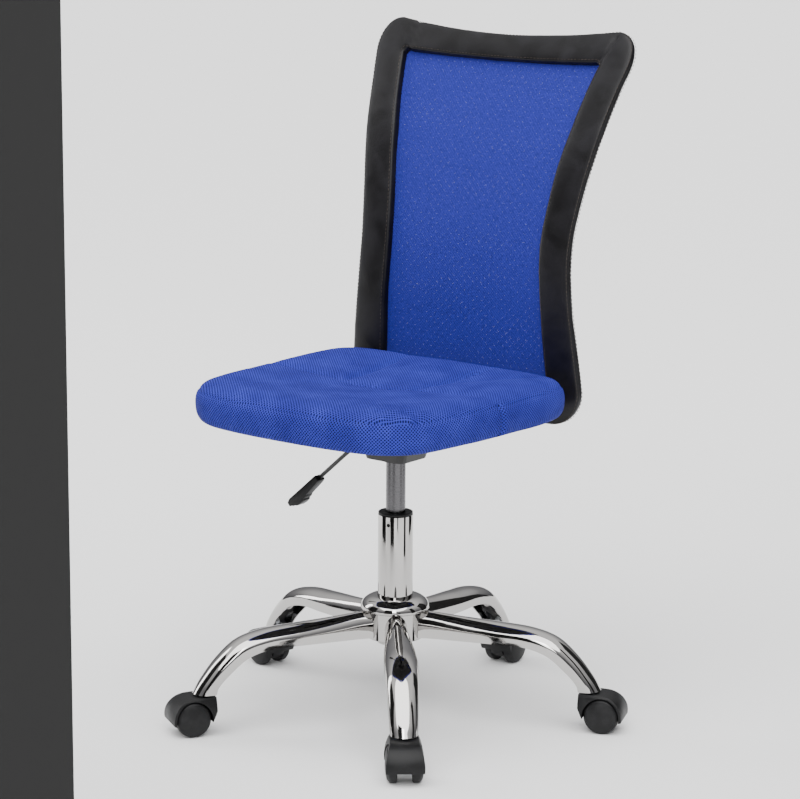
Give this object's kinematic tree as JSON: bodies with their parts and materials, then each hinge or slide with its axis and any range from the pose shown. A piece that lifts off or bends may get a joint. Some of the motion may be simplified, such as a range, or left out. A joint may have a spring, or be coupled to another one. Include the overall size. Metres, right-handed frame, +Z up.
{
  "type": "swivel office chair",
  "caption": "Armless swivel chair: chromed star base on twin-wheel castors, gas lift with a hand lever, padded mesh seat and a waisted net backrest in a padded leather loop.",
  "frame": {"origin": "on the floor, under the middle of the whole chair's bounding box; the column's axis stands 6 mm towards +X and 18 mm towards -Y of it", "axes": "+Z up; the sitter faces -Y; the sitter's left hand is at +X"},
  "size_m": [0.6532, 0.6372, 0.9676],
  "materials": {
    "chrome": "polished chrome plate",
    "cylinder": "satin dark chrome",
    "steel": "bright zinc",
    "black_steel": "satin powder coat",
    "black_plastic": "fine texture",
    "hood": "satin",
    "wheel": "satin",
    "board": "plywood under black lining",
    "blue_mesh": "air mesh",
    "blue_net": "open net",
    "black_leather": "fine grain, soft sheen"
  },
  "bodies": {
    "base": {"base_hub": "chrome", "base_arm_1": "chrome", "base_arm_2": "chrome", "base_arm_3": "chrome", "base_arm_4": "chrome", "base_arm_5": "chrome", "stem_socket_1": "steel", "stem_socket_2": "steel", "stem_socket_3": "steel", "stem_socket_4": "steel", "stem_socket_5": "steel", "column_tube": "chrome", "guide_bush": "black_plastic", "thrust_bearing": "steel"},
    "spindle": {"piston_rod": "steel", "retaining_clip": "steel"},
    "seat": {"gas_cylinder": "cylinder", "seat_plate": "black_steel", "lever_bush": "black_plastic", "seat_board": "board", "seat_cushion": "blue_mesh", "seat_bolt_1": "steel", "seat_bolt_2": "steel", "seat_bolt_3": "steel", "seat_bolt_4": "steel", "back_bracket": "black_steel", "back_tube": "black_steel", "back_cover": "black_leather", "net_front": "blue_net", "net_rear": "blue_net", "back_bolt_left": "steel", "back_bolt_right": "steel"},
    "lever": {"lever_rod": "black_steel", "lever_paddle": "black_plastic"},
    "release_pin": {"release_pin": "steel"},
    "castor_1": {"castor_hood_1": "hood", "castor_stem_1": "steel", "castor_axle_1": "steel"},
    "wheel_left_1": {"castor_wheel_left_1": "wheel"},
    "wheel_right_1": {"castor_wheel_right_1": "wheel"},
    "castor_2": {"castor_hood_2": "hood", "castor_stem_2": "steel", "castor_axle_2": "steel"},
    "wheel_left_2": {"castor_wheel_left_2": "wheel"},
    "wheel_right_2": {"castor_wheel_right_2": "wheel"},
    "castor_3": {"castor_hood_3": "hood", "castor_stem_3": "steel", "castor_axle_3": "steel"},
    "wheel_left_3": {"castor_wheel_left_3": "wheel"},
    "wheel_right_3": {"castor_wheel_right_3": "wheel"},
    "castor_4": {"castor_hood_4": "hood", "castor_stem_4": "steel", "castor_axle_4": "steel"},
    "wheel_left_4": {"castor_wheel_left_4": "wheel"},
    "wheel_right_4": {"castor_wheel_right_4": "wheel"},
    "castor_5": {"castor_hood_5": "hood", "castor_stem_5": "steel", "castor_axle_5": "steel"},
    "wheel_left_5": {"castor_wheel_left_5": "wheel"},
    "wheel_right_5": {"castor_wheel_right_5": "wheel"}
  },
  "joints": [
    {"name": "seat_swivel", "type": "hinge", "parent": "base", "child": "spindle", "pos_m": [0.0062, -0.0183, 0.11], "axis": [0, 0, 1], "continuous": true},
    {"name": "seat_height", "type": "slide", "parent": "spindle", "child": "seat", "axis": [0, 0, 1], "range_m": [-0.055, 0.045]},
    {"name": "lever_lift", "type": "hinge", "parent": "seat", "child": "lever", "pos_m": [-0.0368, -0.0183, 0.4035], "axis": [0, 1, 0], "range_deg": [0, 4], "stiffness_Nm_per_rad": 1, "springref_deg": -5.73},
    {"name": "release_pin_press", "type": "slide", "parent": "seat", "child": "release_pin", "axis": [0, 0, -1], "range_m": [0, 0.0035]},
    {"name": "castor_swivel_1", "type": "hinge", "parent": "base", "child": "castor_1", "pos_m": [0.19194, -0.23578, 0.05], "axis": [0, 0, 1], "continuous": true},
    {"name": "wheel_spin_left_1", "type": "hinge", "parent": "castor_1", "child": "wheel_left_1", "pos_m": [0.21907, -0.2389, 0.025], "axis": [0.7604, 0.6494, 0], "continuous": true},
    {"name": "wheel_spin_right_1", "type": "hinge", "parent": "castor_1", "child": "wheel_right_1", "pos_m": [0.19079, -0.26306, 0.025], "axis": [0.7604, 0.6494, 0], "continuous": true},
    {"name": "castor_swivel_2", "type": "hinge", "parent": "base", "child": "castor_2", "pos_m": [0.27043, 0.09115, 0.05], "axis": [0, 0, 1], "continuous": true},
    {"name": "wheel_spin_left_2", "type": "hinge", "parent": "castor_2", "child": "wheel_left_2", "pos_m": [0.28179, 0.11599, 0.025], "axis": [-0.3827, 0.9239, 0], "continuous": true},
    {"name": "wheel_spin_right_2", "type": "hinge", "parent": "castor_2", "child": "wheel_right_2", "pos_m": [0.29602, 0.08162, 0.025], "axis": [-0.3827, 0.9239, 0], "continuous": true},
    {"name": "castor_swivel_3", "type": "hinge", "parent": "base", "child": "castor_3", "pos_m": [-0.01624, 0.26682, 0.05], "axis": [0, 0, 1], "continuous": true},
    {"name": "wheel_spin_left_3", "type": "hinge", "parent": "castor_3", "child": "wheel_left_3", "pos_m": [-0.03635, 0.2853, 0.025], "axis": [-0.9969, -0.0785, 0], "continuous": true},
    {"name": "wheel_spin_right_3", "type": "hinge", "parent": "castor_3", "child": "wheel_right_3", "pos_m": [0.00073, 0.28822, 0.025], "axis": [-0.9969, -0.0785, 0], "continuous": true},
    {"name": "castor_swivel_4", "type": "hinge", "parent": "base", "child": "castor_4", "pos_m": [-0.2719, 0.04847, 0.05], "axis": [0, 0, 1], "continuous": true},
    {"name": "wheel_spin_left_4", "type": "hinge", "parent": "castor_4", "child": "wheel_left_4", "pos_m": [-0.29569, 0.03505, 0.025], "axis": [-0.2334, -0.9724, 0], "continuous": true},
    {"name": "wheel_spin_right_4", "type": "hinge", "parent": "castor_4", "child": "wheel_right_4", "pos_m": [-0.287, 0.07122, 0.025], "axis": [-0.2334, -0.9724, 0], "continuous": true},
    {"name": "castor_swivel_5", "type": "hinge", "parent": "base", "child": "castor_5", "pos_m": [-0.14324, -0.26216, 0.05], "axis": [0, 0, 1], "continuous": true},
    {"name": "wheel_spin_left_5", "type": "hinge", "parent": "castor_5", "child": "wheel_left_5", "pos_m": [-0.13783, -0.28893, 0.025], "axis": [0.8526, -0.5225, 0], "continuous": true},
    {"name": "wheel_spin_right_5", "type": "hinge", "parent": "castor_5", "child": "wheel_right_5", "pos_m": [-0.16954, -0.26949, 0.025], "axis": [0.8526, -0.5225, 0], "continuous": true}
  ],
  "couplings": [
    {"joint": "release_pin_press", "follows": "lever_lift", "m_per_rad": 0.043}
  ]
}
